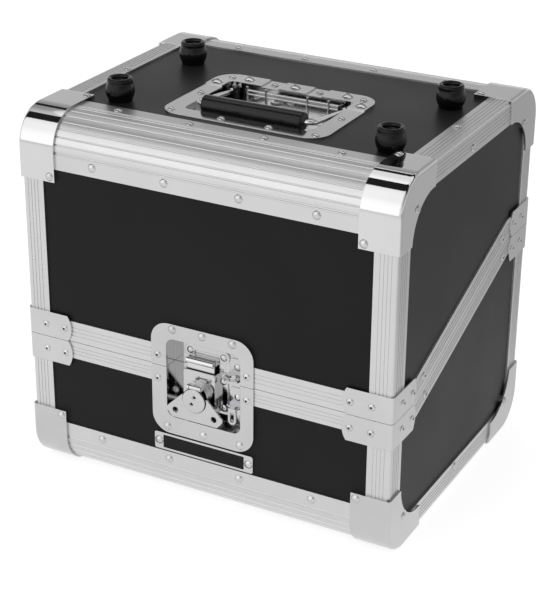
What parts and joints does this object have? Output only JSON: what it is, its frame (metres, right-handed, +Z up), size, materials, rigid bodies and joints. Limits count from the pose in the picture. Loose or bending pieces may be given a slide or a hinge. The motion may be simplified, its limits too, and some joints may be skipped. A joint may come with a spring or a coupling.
{
  "type": "record carrying case",
  "caption": "Box case with fluted edge profiles, slanted lid seam, corner caps, recessed turn latch and recessed bail handle, for large discs.",
  "frame": {"origin": "centre of the bounding box, at the height of the corner caps' undersides that it stands on", "axes": "+X to the right seen from the latch side, +Y to the hinge side, +Z up"},
  "size_m": [0.3764, 0.3156, 0.372],
  "materials": {
    "laminate": "black laminate with a slight sheen",
    "aluminium": "satin anodised",
    "steel": "zinc plated, satin",
    "chrome": "bright nickel plate",
    "lining": "soft foam",
    "rubber": "moulded rubber",
    "grip": "smooth black sleeve",
    "field": "plain dark field"
  },
  "bodies": {
    "base": {"base_floor": "laminate", "base_front_panel": "laminate", "base_back_panel": "laminate", "base_side_left": "laminate", "base_side_right": "laminate", "base_edge_front": "aluminium", "base_edge_back": "aluminium", "base_side_profiles": "aluminium", "base_uprights": "aluminium", "base_frame": "aluminium", "base_caps": "steel", "base_brackets": "steel", "base_lining": "lining", "base_rivets": "steel", "base_pop_rivets": "steel", "hinge_base_leaves": "steel", "hinge_pins": "steel", "dish_lower": "steel", "base_lock_tab": "steel", "latch_cover": "steel", "name_plate": "steel", "name_field": "field"},
    "lid": {"lid_top_panel": "laminate", "lid_front_panel": "laminate", "lid_back_panel": "laminate", "lid_side_left": "laminate", "lid_side_right": "laminate", "lid_edge_front": "aluminium", "lid_edge_back": "aluminium", "lid_side_profiles": "aluminium", "lid_uprights": "aluminium", "lid_frame": "aluminium", "lid_caps_front": "chrome", "lid_caps_back": "steel", "lid_brackets": "steel", "lid_lining": "lining", "lid_rivets": "steel", "lid_pop_rivets": "steel", "hinge_lid_leaves": "steel", "dish_upper": "steel", "keeper": "steel", "lid_lock_tab": "steel", "handle_dish": "steel", "handle_bolts": "steel", "handle_axle": "steel", "handle_saddles": "grip", "feet": "rubber", "foot_screws": "steel"},
    "handle": {"bail": "chrome", "grip": "grip"},
    "tongue": {"latch_tongue": "chrome"},
    "spindle": {"latch_spindle": "steel", "latch_pin": "steel"},
    "wing": {"latch_wing": "steel"}
  },
  "joints": [
    {"name": "lid_hinge", "type": "hinge", "parent": "base", "child": "lid", "pos_m": [0, 0.15375, 0.2125], "axis": [-1, 0, 0], "range_deg": [0, 105]},
    {"name": "handle_pivot", "type": "hinge", "parent": "lid", "child": "handle", "pos_m": [0, 0.00455, 0.3455], "axis": [-1, 0, 0], "range_deg": [0, 90]},
    {"name": "latch_turn", "type": "hinge", "parent": "base", "child": "spindle", "pos_m": [-0.007, -0.15275, 0.115], "axis": [0, 1, 0], "range_deg": [0, 180]},
    {"name": "wing_fold", "type": "hinge", "parent": "spindle", "child": "wing", "pos_m": [-0.007, -0.15535, 0.1243], "axis": [-1, 0, 0], "range_deg": [0, 90]},
    {"name": "tongue_slide", "type": "slide", "parent": "base", "child": "tongue", "axis": [0, 0, 1], "range_m": [0, 0.0101]}
  ],
  "couplings": [
    {"joint": "tongue_slide", "follows": "latch_turn", "m_per_rad": 0.0031831}
  ]
}
